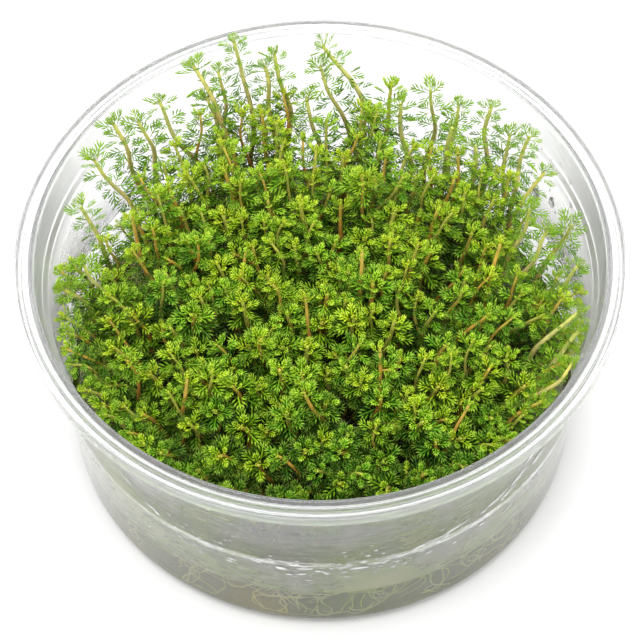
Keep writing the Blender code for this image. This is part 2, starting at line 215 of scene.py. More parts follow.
def solid_shoots(rng):
    """The shoots that the part's solids have, from the same draws in the same order."""
    shoots = listed_shoots(LOOSE_SHOOTS, rng)
    rooms = [shoot.room() for shoot in shoots]
    for number in range(MAT_PLACES):
        radius = MAT_RADIUS * math.sqrt((number + FIRST_PLACE) / MAT_PLACES)
        angle = number * GOLDEN_ANGLE
        x = radius * math.cos(angle) + rng.uniform(-MAT_SHIFT, MAT_SHIFT)
        y = radius * math.sin(angle) + rng.uniform(-MAT_SHIFT, MAT_SHIFT)
        tip = (x, y, mat_height(x, y) + rng.uniform(-MAT_UNEVEN, MAT_UNEVEN))
        foot = (
            x * FAN + rng.uniform(-FOOT_SHIFT, FOOT_SHIFT),
            y * FAN + rng.uniform(-FOOT_SHIFT, FOOT_SHIFT),
        )
        shoot = Shoot(foot, tip, MAT_WHORLS, rng)
        room = shoot.room()
        if clear_of(room, rooms):
            shoots.append(shoot)
            rooms.append(room)
    return shoots


def flat(point):
    return Vector((point.x, point.y))


def distance_to_line(point, start, end):
    """How far a point lies from the line between two others, on the gel."""
    run = end - start
    share = max(0.0, min(1.0, (point - start).dot(run) / run.length_squared))
    return (point - start - share * run).length


def crown_of(members):
    return sum((flat(s.foot) for s in members), Vector((0, 0))) / len(members)


def fits(members, rest, crowns):
    """Whether these shoots can share a crown without touching the stems and crowns around them."""
    crown = crown_of(members)
    for shoot in members:
        foot = flat(shoot.foot)
        if not SHORTEST_BRANCH < (foot - crown).length < LONGEST_BRANCH:
            return False
        if any(distance_to_line(flat(o.foot), crown, foot) < STEM_ROOM for o in rest):
            return False
    around = [flat(o.foot) for o in rest] + crowns
    return all((spot - crown).length > CROWN_ROOM for spot in around)


def group_plantlets(shoots):
    """Neighbouring shoots grow from one crown, outermost first, as the part's solids do."""
    left = sorted(shoots, key=lambda s: -flat(s.foot).length)
    plantlets = []
    crowns = []
    while left:
        first = left.pop(0)
        members = [first]
        near = sorted(left, key=lambda s: (flat(s.foot) - flat(first.foot)).length)
        for wanted in range(MOST_SHOOTS, 1, -1):
            for skip in range(GROUPING_TRIES):
                trial = [first, *near[skip : skip + wanted - 1]]
                rest = [s for s in shoots if s not in trial]
                if len(trial) == wanted and fits(trial, rest, crowns):
                    members = trial
                    break
            if len(members) > 1:
                break
        left = [s for s in left if s not in members]
        plantlets.append(members)
        crowns.append(crown_of(members))
    return plantlets


def fill_shoots(solid, rng):
    """Thinner shoots along the wall and wherever the mat still has room, apart from a few dark clearings."""
    found = []
    for number in range(EDGE_SHOOTS):
        place = number + rng.uniform(-EDGE_JITTER, EDGE_JITTER)
        angle = EDGE_FROM + (EDGE_TO - EDGE_FROM) * place / (EDGE_SHOOTS - 1)
        radius = rng.uniform(*EDGE_RADIUS)
        x, y = radius * math.cos(angle), radius * math.sin(angle)
        top = EDGE_HEIGHT + EDGE_RISE_TO_BACK * y / radius + rng.uniform(-EDGE_UNEVEN, EDGE_UNEVEN)
        foot_radius = radius * FAN - rng.uniform(0, FILL_LEAN)
        turn = angle + rng.uniform(-EDGE_TURN, EDGE_TURN)
        foot = (foot_radius * math.cos(turn), foot_radius * math.sin(turn))
        found.append(Shoot(foot, (x, y, top), MAT_WHORLS, rng))
    tips = [(s.tip.x, s.tip.y) for s in solid + found]
    filled = 0
    for _ in range(FILL_TRIES):
        radius = FILL_RADIUS * math.sqrt(rng.random())
        angle = rng.uniform(-math.pi, math.pi)
        x, y = radius * math.cos(angle), radius * math.sin(angle)
        past_back = y > BACK_FROM and radius > BACK_RADIUS
        lean = (rng.uniform(-FILL_LEAN, FILL_LEAN), rng.uniform(-FILL_LEAN, FILL_LEAN))
        uneven = rng.uniform(-FILL_UNEVEN, FILL_UNEVEN)
        open_ground = any(math.hypot(x - a * MM, y - b * MM) < size * MM for a, b, size in CLEARINGS)
        if rng.random() > np.interp(y, OPEN_BACK, (1.0, OPEN_BACK_SHARE)):
            tips.append((x, y))
            continue
        if open_ground or past_back or any(math.hypot(x - a, y - b) < FILL_SPACING for a, b in tips):
            continue
        tips.append((x, y))
        foot = (x * FAN + lean[0], y * FAN + lean[1])
        found.append(Shoot(foot, (x, y, mat_height(x, y) + uneven), MAT_WHORLS, rng))
        filled += 1
        if filled == FILL_SHOOTS:
            break
    return found


class Build:
    """Triangles gathered for one mesh: places, corners, materials and the growth values that colour them."""

    def __init__(self):
        self.verts = []
        self.tris = []
        self.slots = []
        self.growth = []
        self.count = 0

    def add(self, verts, tris, slot, growth):
        self.verts.append(verts)
        self.tris.append(tris + self.count)
        self.slots.append(np.full(len(tris), slot, np.int32))
        self.growth.append(np.broadcast_to(growth, (len(verts), 4)))
        self.count += len(verts)

    def finish(self, name, materials):
        """The mesh as an object, with smooth faces and its growth values as a colour attribute."""
        verts = np.concatenate(self.verts).astype(np.float32)
        tris = np.concatenate(self.tris).astype(np.int32)
        growth = np.concatenate(self.growth).astype(np.float32)
        mesh = bpy.data.meshes.new(name)
        mesh.vertices.add(len(verts))
        mesh.vertices.foreach_set("co", verts.ravel())
        mesh.loops.add(3 * len(tris))
        mesh.loops.foreach_set("vertex_index", tris.ravel())
        mesh.polygons.add(len(tris))
        mesh.polygons.foreach_set("loop_start", np.arange(0, 3 * len(tris), 3, dtype=np.int32))
        for material in materials:
            mesh.materials.append(material)
        mesh.polygons.foreach_set("material_index", np.concatenate(self.slots))
        mesh.update(calc_edges=True)
        mesh.shade_smooth()
        attribute = mesh.attributes.new("growth", "FLOAT_COLOR", "POINT")
        attribute.data.foreach_set("color", growth.ravel())
        return put_in_scene(name, mesh)


def unit(v):
    return v / np.maximum(np.linalg.norm(v, axis=-1, keepdims=True), 1e-12)


def turned(angle, x, y):
    """Two axes at right angles, turned within their plane."""
    c, s = math.cos(angle), math.sin(angle)
    return c * x + s * y, -s * x + c * y


def put_in_scene(name, data):
    thing = bpy.data.objects.new(name, data)
    bpy.context.scene.collection.objects.link(thing)
    return thing


# A leaf's fingers: their flatness, where they are widest, where the pairs stand along the midrib, and how
# length and angle change from pair to pair. The midrib's rings are shares of its length and thickness
FLATNESS = 0.62
WIDEST = 0.60
PAIRS_FROM, PAIRS_SPAN = 0.30, 0.34
PAIR_LENGTHS = (0.88, 0.36, 0.50)
PAIR_TURN = 16
OVERLAP = 0.03
RIB_RINGS = ((0.34, 0.72), (0.82, 0.92))
RIB_TIP = (1.0, 0.0, 0.02)
TIP_STEP = 0.3
SPARSE_PAIRS = ((0.25, 0.50, 50), (0.45, 0.48, 42), (0.62, 0.36, 34))
SPARSE_WIDEST, SPARSE_HALF, SPARSE_FOLD = 0.65, 0.055, 0.15


def finger(base, end, radius):
    """A closed, flattened sliver from base to end: five corners, widest a little past its middle."""
    along = unit(end - base)
    side = unit(np.cross([0.0, 0.0, 1.0], along))
    top = np.cross(along, side)
    middle = base + WIDEST * (end - base)
    angles = np.radians([90, 210, 330]) + math.pi / 2
    ring = [middle + radius * (math.cos(a) * side + FLATNESS * math.sin(a) * top) for a in angles]
    verts = np.array([base, *ring, end])
    tris = np.array([(0, 2, 1), (0, 3, 2), (0, 1, 3), (4, 1, 2), (4, 2, 3), (4, 3, 1)])
    return verts, tris


def leaf_template(pairs, radius, reach, sweep, fold):
    """A feathery leaf of unit length along +X: a midrib and pairs of narrow fingers that sweep forward."""
    angles = np.radians([180, 300, 420])
    rib = [np.zeros(3)]
    for x, thickness in RIB_RINGS:
        r = thickness * radius
        rib += [np.array([x, r * math.cos(a), FLATNESS * r * math.sin(a)]) for a in angles]
    rib.append(np.array(RIB_TIP))
    rib_tris = [(0, 2, 1), (0, 3, 2), (0, 1, 3)]
    for i in range(3):
        j = (i + 1) % 3
        rib_tris += [(1 + i, 1 + j, 4 + j), (1 + i, 4 + j, 4 + i)]
    rib_tris += [(7, 4, 5), (7, 5, 6), (7, 6, 4)]
    verts, tris = [np.array(rib)], [np.array(rib_tris)]
    share = [verts[0][:, 0]]
    count = len(rib)
    for pair in range(pairs):
        t = pair / max(1, pairs - 1)
        x = PAIRS_FROM + PAIRS_SPAN * t
        length = reach * (PAIR_LENGTHS[0] + PAIR_LENGTHS[1] * t - PAIR_LENGTHS[2] * t * t)
        angle = math.radians(sweep - PAIR_TURN * t)
        for hand in (-1, 1):
            base = np.array([x - OVERLAP, 0.0, 0.0])
            end = base + length * np.array([math.cos(angle), hand * math.sin(angle), fold])
            v, f = finger(base, end, radius)
            verts.append(v)
            tris.append(f + count)
            share.append(np.array([x, x + TIP_STEP, x + TIP_STEP, x + TIP_STEP, 1.0]))
            count += len(v)
    return np.concatenate(verts), np.concatenate(tris), np.concatenate(share)


def sparse_leaf_template():
    """A simpler old leaf for the shade below the mat: flat fingers of two faces each."""
    verts = [(0.0, 0.0, 0.0), (0.7, 0.05, 0.0), (1.0, 0.0, 0.0), (0.7, -0.05, 0.0)]
    tris = [(0, 1, 2), (0, 2, 3)]
    share = [0.0, 0.6, 1.0, 0.6]
    for x, length, angle in SPARSE_PAIRS:
        for hand in (-1, 1):
            a = math.radians(angle)
            ahead = np.array([math.cos(a), hand * math.sin(a), SPARSE_FOLD])
            across = np.array([-math.sin(a), hand * math.cos(a), 0.0])
            base = np.array([x, 0.0, 0.0])
            middle = base + length * (SPARSE_WIDEST * ahead)
            corner = len(verts)
            tip = base + length * ahead
            verts += [base, middle + SPARSE_HALF * across, tip, middle - SPARSE_HALF * across]
            tris += [(corner, corner + 1, corner + 2), (corner, corner + 2, corner + 3)]
            share += [x, x + TIP_STEP, 1.0, x + TIP_STEP]
    return np.array(verts), np.array(tris), np.array(share)


# Leaves from the bud's to the full-grown, then the sparse one and the loose shoots' finer one
TEMPLATES = [
    leaf_template(2, 0.084, 0.44, 32, 0.10),
    leaf_template(3, 0.064, 0.48, 38, 0.12),
    leaf_template(3, 0.053, 0.50, 41, 0.14),
    leaf_template(3, 0.049, 0.51, 43, 0.16),
    sparse_leaf_template(),
    leaf_template(3, 0.048, 0.52, 44, 0.14),
]


def place_leaves(template, origin, along, side, up, length, bend):
    """Copies of a template leaf, each scaled, curled about its side axis and set in its own frame."""
    x, y, z = template[:, 0][None], template[:, 1][None], template[:, 2][None]
    curl = np.where(np.abs(bend) < 1e-3, 1e-3, bend)[:, None]
    s, c = np.sin(curl * x), np.cos(curl * x)
    parts = ((s / curl + z * s, along), (y + 0 * x, side), (-(1 - c) / curl + z * c, up))
    local = sum(share[..., None] * axis[:, None] for share, axis in parts)
    return origin[:, None] + length[:, None, None] * local


def inside_wall(points, margin):
    """Points that would lie in the cup's wall move in along the radius."""
    z = points[..., 2]
    limit = np.interp(z, WALL_HEIGHTS, WALL_RADII) - margin
    radius = np.hypot(points[..., 0], points[..., 1])
    pull = np.where((radius > limit) & (z < HEIGHT), limit / np.maximum(radius, 1e-9), 1.0)
    points[..., 0] *= pull
    points[..., 1] *= pull
    return points


def strips(rings, sides):
    """Triangles between each ring of corners and the next."""
    i = np.arange(sides)
    j = (i + 1) % sides
    tris = []
    for k in range(rings - 1):
        a, b, c, d = k * sides + i, k * sides + j, (k + 1) * sides + j, (k + 1) * sides + i
        tris += [np.stack([a, b, c], 1), np.stack([a, c, d], 1)]
    return tris


def caps(rings, sides):
    """Fans that close the first ring and the last one, with the two corners that come after all the rings."""
    i = np.arange(sides)
    j = (i + 1) % sides
    first, last = rings * sides, (rings - 1) * sides
    start = np.stack([j, i, np.full(sides, first)], 1)
    return start, np.stack([last + i, last + j, np.full(sides, first + 1)], 1)


def tube(path, radii, sides):
    """A closed tube round a path, pointed at both ends."""
    n = len(path)
    along = unit(np.gradient(path, axis=0))
    side = np.zeros_like(path)
    first = np.cross(along[0], [0.3, 0.2, 0.9])
    if np.linalg.norm(first) < 1e-3:
        first = np.cross(along[0], [1.0, 0.0, 0.0])
    side[0] = unit(first)
    for i in range(1, n):
        side[i] = unit(side[i - 1] - along[i] * np.dot(side[i - 1], along[i]))
    top = np.cross(along, side)
    angles = np.linspace(0, 2 * math.pi, sides, endpoint=False)
    ring = np.cos(angles)[None, :, None] * side[:, None] + np.sin(angles)[None, :, None] * top[:, None]
    rings = path[:, None] + np.asarray(radii)[:, None, None] * ring
    ends = np.array([path[0] - along[0] * radii[0], path[-1] + along[-1] * radii[-1]])
    verts = np.concatenate([rings.reshape(-1, 3), ends])
    share = np.concatenate([np.repeat(np.linspace(0, 1, n), sides), [0, 1]])
    return verts, np.concatenate([*strips(n, sides), *caps(n, sides)]), share


# A stem: its points, where its knee lies between crown and foot, its two waves, and the room to the wall
STEM_POINTS = 19
KNEE_OUT, KNEE_UP = 0.75, 0.25
SLOW_WAVE, QUICK_WAVE, QUICK_SHARE = 5.0, 11, 0.5
STEM_MARGIN = 1.1 * MM
LEAF_MARGIN = 0.35 * MM


def stem_path(shoot, crown, wave, rng):
    """Points from the crown along the gel, up through the foot and on to the tip, with slight waves."""
    start = np.array([crown.x, crown.y, GEL_TOP + 0.6 * CROWN_HALF])
    foot = np.array(shoot.foot)
    knee = start + KNEE_OUT * (foot - start)
    knee[2] = start[2] + KNEE_UP * (foot[2] - start[2])
    t = np.linspace(0, 1, STEM_POINTS)
    rise = np.array([shoot.at(share) for share in t])
    t = t[:, None]
    phase = [rng.uniform(0, 2 * math.pi) for _ in range(4)]
    swing = 4 * t * (1 - t)
    for axis, slow, quick in ((0, phase[0], phase[1]), (1, phase[2], phase[3])):
        waves = np.sin(SLOW_WAVE * t + slow) + QUICK_SHARE * np.sin(QUICK_WAVE * t + quick)
        rise[:, axis : axis + 1] += wave * swing * waves
    return inside_wall(np.concatenate([[start, knee], rise]), STEM_MARGIN)


HEADING_STEP = 0.8 * MM


def point_along(path, distance):
    """The point and the heading a distance down from the tip, and the path's whole length."""
    back = path[::-1]
    steps = np.concatenate([[0], np.cumsum(np.linalg.norm(np.diff(back, axis=0), axis=1))])
    places = (distance, max(0, distance - HEADING_STEP), distance + HEADING_STEP)
    point, ahead, behind = (np.array([np.interp(d, steps, back[:, k]) for k in range(3)]) for d in places)
    return point, unit(ahead - behind), steps[-1]


# Whorls from the bud down: length in millimetres, elevation and curl in degrees, template, gap to the next
MAT_WHORL_ROWS = (
    (1.60, 72, -14, 0, 0.55), (2.70, 46, 4, 1, 0.95), (3.55, 25, 14, 2, 1.80), (3.90, 10, 22, 3, 2.60),
    (3.80, 2, 28, 3, 2.90), (3.60, -3, 34, 3, 3.00), (3.30, -8, 36, 4, 3.00), (3.10, -10, 38, 4, 3.00),
    (3.00, -12, 38, 4, 3.00), (2.90, -12, 40, 4, 3.00), (2.90, -12, 40, 4, 3.00),
)
LOOSE_WHORL_ROWS = (
    (2.40, 58, -4, 5, 0.50), (3.30, 30, 12, 5, 2.90), (3.40, 14, 24, 5, 3.20), (3.40, 4, 34, 5, 3.40),
    (3.40, -4, 40, 5, 3.40), (3.30, -6, 42, 2, 3.20), (3.20, -8, 42, 2, 3.10), (3.10, -8, 42, 3, 3.10),
    (3.00, -8, 42, 3, 3.20), (2.90, -10, 42, 4, 3.20), (2.80, -10, 42, 4, 3.20),
)
BARE_WHORL_ROWS = (
    (1.50, 70, -10, 0, 0.60), (2.10, 46, 2, 1, 5.50), (2.90, 10, 20, 2, 3.00), (3.10, 0, 30, 3, 3.00),
    (3.00, -6, 36, 3, 3.00), (2.90, -8, 38, 4, 3.00), (2.80, -8, 38, 4, 3.00),
)
# Each kind of shoot: the stem's waves and thickness in millimetres, its paleness, its whorls, the bud's age
# and the aging from whorl to whorl, which also darkens lower whorls as painted shade. Shoots at the back
# stay green further down as painted light, and shoots at the front darken sooner as painted shade
KINDS = {
    "solid": (0.45, 0.50, 0.0, MAT_WHORL_ROWS, 0.0, 0.106),
    "fill": (0.80, 0.38, 0.0, MAT_WHORL_ROWS, 0.02, 0.106),
    "bare": (0.30, 0.46, 0.1, BARE_WHORL_ROWS, 0.06, 0.10),
    "loose": (0.90, 0.55, 1.0, LOOSE_WHORL_ROWS, 0.07, 0.050),
}
PAINTED_LIGHT_BACK = (0.002, 0.020)
PAINTED_LIGHT_BACK_SHARE = 0.80
PAINTED_SHADE_FRONT = (-0.038, -0.024)
PAINTED_SHADE_FRONT_SHARE = 1.35
LOOSE_TONE = 2.0
PAINTED_SHADE_AGE = 0.2
STEM_SIDES = 6
STEM_TAPER = 0.45
SIZES, FILL_SIZE = (0.82, 1.20), 0.92
VIGOURS = (0.85, 1.30)
FIFTH_LEAF = 0.3
BUD_DEPTH = 0.5 * MM
BARE_FOOT = 5.0 * MM
LEAF_SHIFT, LEAF_TILT, LEAF_ROLL, CURL_SPREAD = 0.10, 16, 24, 14
LEAF_LENGTHS = (0.80, 1.15)
AGE_SPREAD = 0.04


def grow_shoot(build, shoot, crown, kind, rng):
    """One shoot with its stem, whorls and bud. Its kind is solid, loose, bare or fill."""
    wave, thick, paleness, rows, bud_age, aging_and_shade = KINDS[kind]
    path = stem_path(shoot, crown, wave * MM, rng)
    thick = thick * MM * rng.uniform(0.85, 1.15)
    t = np.linspace(0, 1, len(path))
    verts, tris, share = tube(path, thick * (1.0 - STEM_TAPER * t**2), STEM_SIDES)
    tone, redness = rng.random(), rng.random()
    if kind == "bare":
        redness = 1.0
    rest = [np.full_like(share, value) for value in (redness, tone, paleness)]
    build.add(verts, tris, 1, np.stack([1 - share, *rest], 1))

    size = rng.uniform(*SIZES) * (FILL_SIZE if kind == "fill" else 1.0)
    # Painted light and shade: leaves age more slowly at the back and sooner at the front, bud included
    if kind != "loose":
        aging_and_shade *= np.interp(shoot.tip.y, PAINTED_LIGHT_BACK, (1.0, PAINTED_LIGHT_BACK_SHARE))
        shade = np.interp(shoot.tip.y, PAINTED_SHADE_FRONT, (PAINTED_SHADE_FRONT_SHARE, 1.0))
        aging_and_shade *= shade
        bud_age += PAINTED_SHADE_AGE * (shade - 1.0)
    vigour = rng.uniform(*VIGOURS)
    distance = BUD_DEPTH
    turn = rng.uniform(0, 2 * math.pi)
    leaves = {}
    for index, (length, elevation, curl, template, gap) in enumerate(rows):
        point, heading, total = point_along(path, distance)
        if distance > total - BARE_FOOT:
            break
        number = 5 if kind == "loose" or rng.random() < FIFTH_LEAF else 4
        first = unit(np.cross(heading, [math.cos(turn), math.sin(turn), 0.1]))
        second = np.cross(heading, first)
        for leaf in range(number):
            a = 2 * math.pi * (leaf + rng.uniform(-LEAF_SHIFT, LEAF_SHIFT)) / number
            radial, _ = turned(a, first, second)
            tilt = math.radians(elevation + rng.uniform(-LEAF_TILT, LEAF_TILT))
            along, up = turned(tilt, radial, heading)
            roll = math.radians(rng.uniform(-LEAF_ROLL, LEAF_ROLL))
            row = (
                point + thick * 0.6 * 0.5 * radial,
                along,
                *turned(roll, np.cross(up, along), up),
                length * MM * size * rng.uniform(*LEAF_LENGTHS),
                math.radians(curl * vigour + rng.uniform(-CURL_SPREAD, CURL_SPREAD)),
                bud_age + aging_and_shade * index + rng.uniform(-AGE_SPREAD, AGE_SPREAD),
                rng.random(),
            )
            leaves.setdefault(template, []).append(row)
        turn += math.pi / number + rng.uniform(-0.15, 0.15)
        distance += gap * MM * vigour * size
    for template, members in leaves.items():
        shape, tris, share = TEMPLATES[template]
        origin, along, side, up, length, bend, age, spot = (np.array(c) for c in zip(*members))
        points = inside_wall(place_leaves(shape, origin, along, side, up, length, bend), LEAF_MARGIN)
        n, v = points.shape[:2]
        growth = np.empty((n, v, 4))
        growth[..., 0] = np.clip(age, 0, 1)[:, None]
        growth[..., 1] = share[None]
        growth[..., 2] = LOOSE_TONE if kind == "loose" else tone
        growth[..., 3] = spot[:, None]
        offsets = (np.arange(n) * v)[:, None, None]
        build.add(points.reshape(-1, 3), (tris[None] + offsets).reshape(-1, 3), 0, growth.reshape(-1, 4))


ROOTS, ROOT_DRIFT = 5, 0.06
OUTER_CROWN = 0.030
OUTER_ROOTS, OUTER_DRIFT = 10, 0.46
ROOT_STEPS = (28, 52)
ROOT_STEP = 0.65 * MM
ROOT_CURL = 0.22
ROOT_ENDS = (0.21, 0.12)
ROOT_THICKNESSES = (0.8, 1.3)
ROOT_FLOOR = 2.2 * MM
ROOT_CEILING = GEL_TOP - 0.5 * MM
SPIN_KEPT, SPIN_ADDED = 0.86, 0.50


def grow_roots(build, crown, number, drift, rng):
    """Curling roots from the crown down into the gel, kept inside it."""
    for _ in range(number):
        heading = unit(np.array([rng.uniform(-1, 1), rng.uniform(-1, 1), rng.uniform(-1.6, -0.5)]))
        point = np.array([crown.x, crown.y, GEL_TOP - 0.3 * MM])
        outward = unit(np.array([crown.x, crown.y, 0.0]) + 1e-6)
        path = [point]
        spin = np.array([rng.gauss(0, 1) for _ in range(3)])
        for _ in range(rng.randint(*ROOT_STEPS)):
            spin = SPIN_KEPT * spin + SPIN_ADDED * np.array([rng.gauss(0, 1) for _ in range(3)])
            heading = unit(heading + ROOT_CURL * np.cross(spin, heading) + drift * outward)
            step = point + ROOT_STEP * heading
            limit = BASE_RADIUS - WALL - 1.0 * MM
            if step[2] < ROOT_FLOOR or step[2] > ROOT_CEILING:
                heading = unit(heading * np.array([1, 1, -0.4]))
                step[2] = min(max(step[2], ROOT_FLOOR), ROOT_CEILING)
            radius = math.hypot(step[0], step[1])
            if step[2] < BASE_FILLET:
                limit -= 0.6 * (BASE_FILLET - step[2])
            if radius > limit:
                step[:2] *= limit / radius
                heading = unit(heading - np.dot(heading, outward) * outward * 1.2)
            point = step
            path.append(point)
        path = np.array(path)
        path[1:-1] = (path[:-2] + 2 * path[1:-1] + path[2:]) / 4
        radii = np.linspace(*ROOT_ENDS, len(path)) * MM * rng.uniform(*ROOT_THICKNESSES)
        verts, tris, share = tube(path, radii, 5)
        growth = np.stack([share, share, np.full_like(share, rng.random()), np.ones_like(share)], 1)
        build.add(verts, tris, 2, growth)


def turned_body(profile, segments):
    """A closed turned mesh, and each triangle's place along its profile.

    The profile starts on the axis below and goes round the outside to the axis.
    """
    profile = np.array(profile)
    angles = np.linspace(0, 2 * math.pi, segments, endpoint=False)
    radii, heights = profile[1:-1, 0][:, None], profile[1:-1, 1][:, None]
    rings = [radii * np.cos(angles), radii * np.sin(angles), np.repeat(heights, segments, 1)]
    ends = [[0, 0, profile[0][1]], [0, 0, profile[-1][1]]]
    verts = np.concatenate([np.stack(rings, -1).reshape(-1, 3), ends])
    n = len(radii)
    start, end = caps(n, segments)
    level = np.repeat(np.arange(n + 1), [segments, *[2 * segments] * (n - 1), segments])
    return verts, np.concatenate([start, *strips(n, segments), end]), level


def arc(centre_r, centre_z, radius, start, end, steps):
    """Points along an arc of a profile, ends included. Angles in degrees, 0 pointing outward, 90 up."""
    angles = np.radians(np.linspace(start, end, steps + 1))
    return [(centre_r + radius * math.cos(a), centre_z + radius * math.sin(a)) for a in angles]


SHEET = 0.50 * MM
LIP_START = (RIM_RADIUS - 0.9 * SHEET - 0.20 * MM, HEIGHT - 1.75 * SHEET)
LIP_STEPS = 6
CREST_RADIUS, CREST_PITCH, CREST_DEPTH = 50.15, 1.30, 0.42
CREST_STEPS = 28
MARK_HEIGHT = 23.8 * MM
MARK_SHAPE = ((-0.4, 0.0), (-0.15, 0.05), (0.0, 0.08), (0.15, 0.05), (0.4, 0.0))
LEDGE_END = 0.0385
WET_HEIGHT = GEL_TOP + 0.6 * MM
INNER_HEIGHTS = (LEDGE_END, 0.0330, 0.0270, 0.0210, 0.0160, WET_HEIGHT, 0.0085, 0.0055)


def cup_profiles():
    """The cup's outside with its beaded top, and its inside from the mouth down."""
    ledge_z = HEIGHT - COLLAR_DEPTH
    fillet_r = BASE_RADIUS - BASE_FILLET
    collar_r = MOUTH_RADIUS + 1.2 * SHEET
    lip_r = RIM_RADIUS - 0.9 * SHEET

    def bead(r):
        crest = math.sin(math.pi * (r - CREST_RADIUS) / CREST_PITCH) ** 2
        return (r * MM, HEIGHT - CREST_DEPTH * MM * crest)

    outside = [(0, 0), *arc(fillet_r, BASE_FILLET, BASE_FILLET, -90, 0, 10)]
    for z, out in MARK_SHAPE:
        height = MARK_HEIGHT + z * MM
        outside.append((float(np.interp(height, WALL_HEIGHTS, WALL_RADII)) + WALL + out * MM, height))
    outside += [
        (LEDGE_RADIUS + WALL - 0.02 * MM, ledge_z - 2.6 * WALL),
        (LEDGE_RADIUS + WALL + 0.06 * MM, ledge_z - 2.1 * WALL),
        (COLLAR_FOOT_RADIUS + WALL - 0.10 * MM, ledge_z - WALL + 0.45 * LEDGE_DROP),
        (COLLAR_FOOT_RADIUS + WALL + 0.02 * MM, ledge_z - WALL + 1.3 * LEDGE_DROP),
        (collar_r + 0.02 * MM, HEIGHT - 1.6 * MM),
        (collar_r + 0.04 * MM, HEIGHT - 2.1 * SHEET),
        (collar_r + 0.20 * MM, HEIGHT - 1.75 * SHEET),
        LIP_START,
        (lip_r, HEIGHT - 2.1 * SHEET),
        (lip_r, HEIGHT - LIP_DROP + 0.1 * MM),
    ]
    outside += arc(RIM_RADIUS - 0.225 * MM, HEIGHT - LIP_DROP + 0.225 * MM, 0.225 * MM, -160, 0, 6)
    outside += [(RIM_RADIUS, HEIGHT - 0.9 * MM)]
    outside += arc(RIM_RADIUS - 0.5 * MM, HEIGHT - 0.5 * MM, 0.5 * MM, 0, 70, 4)
    outside += [bead(r) for r in np.linspace(50.1, 47.42, CREST_STEPS)]
    inside = arc(MOUTH_RADIUS + 0.14 * MM, HEIGHT - 0.15 * MM, 0.14 * MM, 90, 180, 4)
    inside += [
        (COLLAR_FOOT_RADIUS + 0.05 * MM, ledge_z + 0.15 * MM),
        (COLLAR_FOOT_RADIUS - 0.10 * MM, ledge_z - 0.05 * MM),
        (LEDGE_RADIUS + 0.12 * MM, ledge_z - 0.70 * LEDGE_DROP),
        (LEDGE_RADIUS, ledge_z - 1.1 * LEDGE_DROP),
    ]
    inside += [(wall_radius(z), z) for z in INNER_HEIGHTS]
    inner = BASE_FILLET - WALL
    inside += arc(fillet_r, BASE_THICKNESS + inner, inner, 0, -90, 8)
    inside += [(0, BASE_THICKNESS)]
    return outside, inside


GEL_FILM = 0.03 * MM
GEL_EDGE = GEL_TOP + 0.62 * MM
MENISCUS = ((0.25, 0.42), (0.6, 0.22), (1.1, 0.10), (1.8, 0.03), (2.8, 0.0))


def gel_profile():
    """The gel: it fills the foot of the cup and climbs a little where it meets the wall."""
    foot = BASE_THICKNESS + GEL_FILM
    fillet = BASE_FILLET - WALL - GEL_FILM
    edge = wall_radius(GEL_TOP) - GEL_FILM
    profile = [(0, foot), *arc(BASE_RADIUS - BASE_FILLET, foot + fillet, fillet, -90, 0, 8)]
    profile += [(edge, GEL_EDGE), (edge - 0.06 * MM, GEL_TOP + 0.66 * MM)]
    profile += [(edge - inward * MM, GEL_TOP + rise * MM) for inward, rise in MENISCUS]
    return [*profile, (0.030, GEL_TOP), (0.015, GEL_TOP), (0, GEL_TOP)]


DROP_SIDES = 8
DROP_RINGS = ((1.0, 0.0), (0.86, 0.32), (0.5, 0.55))
DROP_TOP = 0.62
DROP_THICKNESS = 0.60
DROP_WOBBLE = 0.16


def add_droplets(build, rng):
    """Beads and short runs of condensation on the wall."""
    angles = np.linspace(0, 2 * math.pi, DROP_SIDES, endpoint=False)
    start, end = caps(len(DROP_RINGS), DROP_SIDES)
    tris = np.concatenate([start, *strips(len(DROP_RINGS), DROP_SIDES), end])
    for azimuth, height, wide, tall, tilt in droplet_places(rng):
        radius = float(np.interp(height, WALL_HEIGHTS, WALL_RADII)) + WALL + 0.01 * MM
        outward = np.array([math.cos(azimuth), math.sin(azimuth), 0.0])
        across = np.array([-math.sin(azimuth), math.cos(azimuth), 0.0])
        across, up = turned(tilt, across, np.array([0.0, 0.0, 1.0]))
        centre = radius * outward + np.array([0.0, 0.0, height])
        thick = DROP_THICKNESS * min(wide, tall)
        verts = []
        for size, rise in DROP_RINGS:
            for a in angles:
                wobble = 1 + DROP_WOBBLE * math.sin(3 * a + azimuth * 50)
                spot = centre + size * wobble * (wide * math.cos(a) * across + tall * math.sin(a) * up)
                spot[:2] *= (radius + rise * thick) / math.hypot(spot[0], spot[1])
                verts.append(spot)
        verts += [centre, centre + DROP_TOP * thick * outward]
        build.add(np.array(verts), tris, 0, (0, 0, rng.random(), 0))


# Single runs of condensation: azimuth, height, half-width and half-height in millimetres, and tilt
LISTED_DROPS = (
    (-86, 23.5, 1.6, 0.35, 0.10), (-99, 22.5, 1.1, 0.45, -0.15), (-70, 25.5, 2.4, 0.30, 0.35),
    (-62, 27.0, 2.8, 0.32, 0.30), (-52, 28.5, 2.6, 0.45, 0.35), (-46, 30.5, 2.6, 0.50, 0.55),
    (-40, 31.0, 2.2, 0.60, 0.45), (-57, 24.5, 1.9, 0.28, 0.20), (-94, 23.0, 1.5, 0.30, 0.05),
    (-83, 22.6, 1.8, 0.32, 0.00), (-79, 23.4, 1.1, 0.28, 0.10), (-104, 23.6, 1.0, 0.30, -0.10),
    (-74, 24.2, 1.6, 0.24, 0.15), (-66, 26.0, 1.8, 0.26, 0.25), (-49, 27.6, 2.2, 0.34, 0.30),
    (-43, 34.0, 1.8, 0.42, 0.60), (-37, 36.0, 1.6, 0.40, 0.55), (-128, 27.5, 1.3, 0.30, -0.30),
    (-134, 31.0, 1.5, 0.40, -0.40), (-141, 34.0, 1.7, 0.42, -0.55), (32, 31.0, 1.2, 2.0, 0.25),
    (26, 34.0, 0.9, 1.5, 0.15), (20, 30.0, 1.1, 1.6, -0.2),
)


